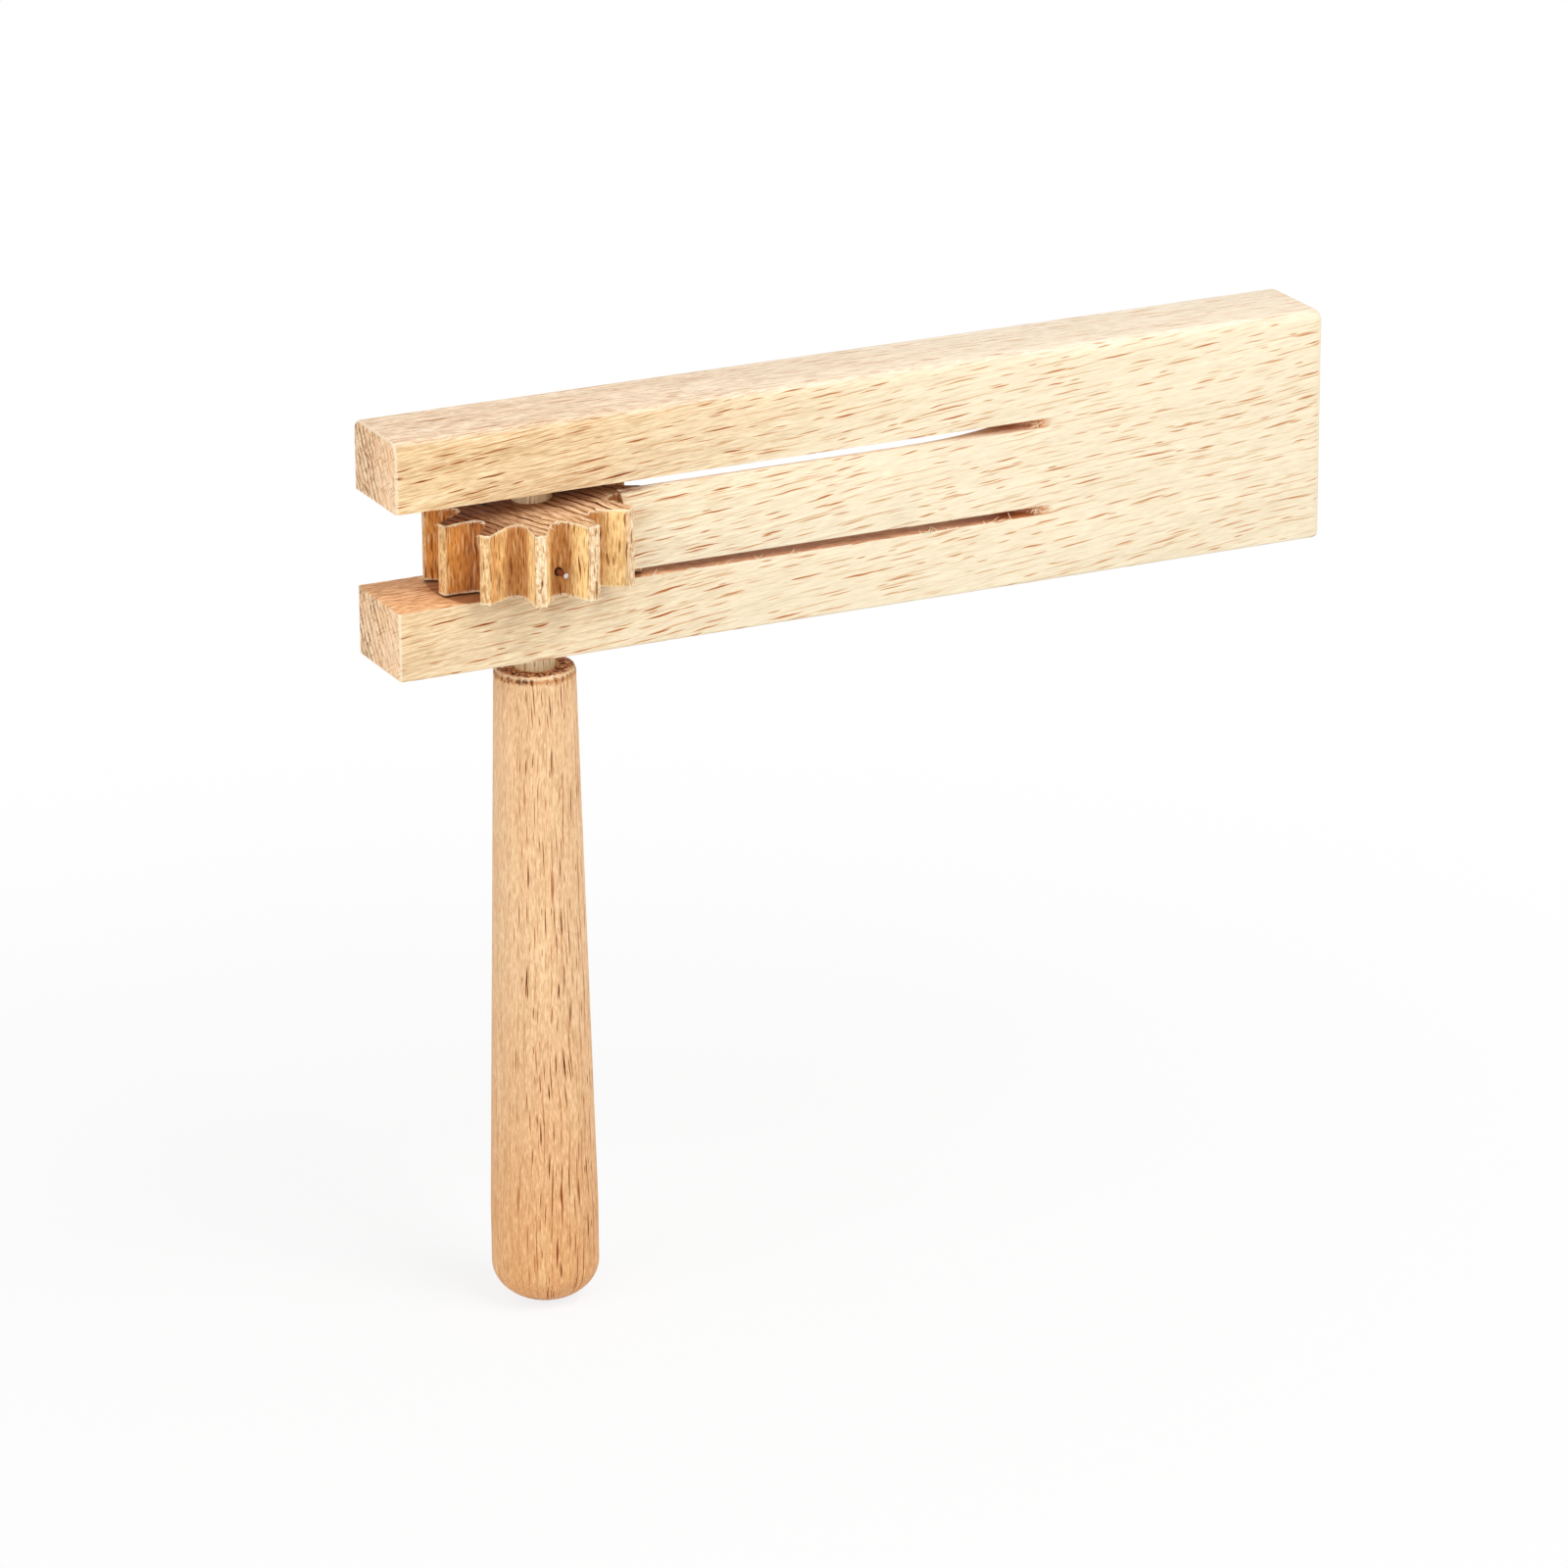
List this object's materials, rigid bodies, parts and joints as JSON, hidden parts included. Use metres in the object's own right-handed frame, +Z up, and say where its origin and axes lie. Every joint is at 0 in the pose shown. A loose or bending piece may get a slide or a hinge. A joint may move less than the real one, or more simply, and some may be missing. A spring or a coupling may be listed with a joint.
{
  "type": "ratchet noisemaker",
  "caption": "Wooden ratchet noisemaker: a sawn block spins round a toothed wheel on a turned handle, and its tongue clacks from tooth to tooth.",
  "frame": {"origin": "middle of the handle's length, on the axle's axis", "axes": "+Z up the axle, towards the head; +X along the head block, towards its tail; -Y the face that the tongue is flush with"},
  "size_m": [0.151, 0.0314, 0.138],
  "materials": {
    "block_beech": "sanded, bare",
    "wheel_beech": "milled, bare",
    "dowel_beech": "sanded, bare",
    "handle_beech": "turned, bare",
    "brad_steel": "dull wire"
  },
  "bodies": {
    "grip_group": {"handle": "handle_beech", "axle": "dowel_beech", "ratchet_wheel": "wheel_beech", "wheel_pin": "brad_steel"},
    "head": {"head_block": "block_beech"},
    "leaf": {"tongue": "block_beech"}
  },
  "joints": [
    {"name": "head_spin", "type": "hinge", "parent": "grip_group", "child": "head", "pos_m": [0, 0, 0.0705], "axis": [0, 0, 1], "continuous": true, "deforming": ["tongue"]},
    {"name": "tongue_flex", "type": "hinge", "parent": "head", "child": "leaf", "pos_m": [0.057, -0.0075, 0.07045], "axis": [0, 0, 1], "range_deg": [0, 6.5], "stiffness_Nm_per_rad": 1.4}
  ]
}
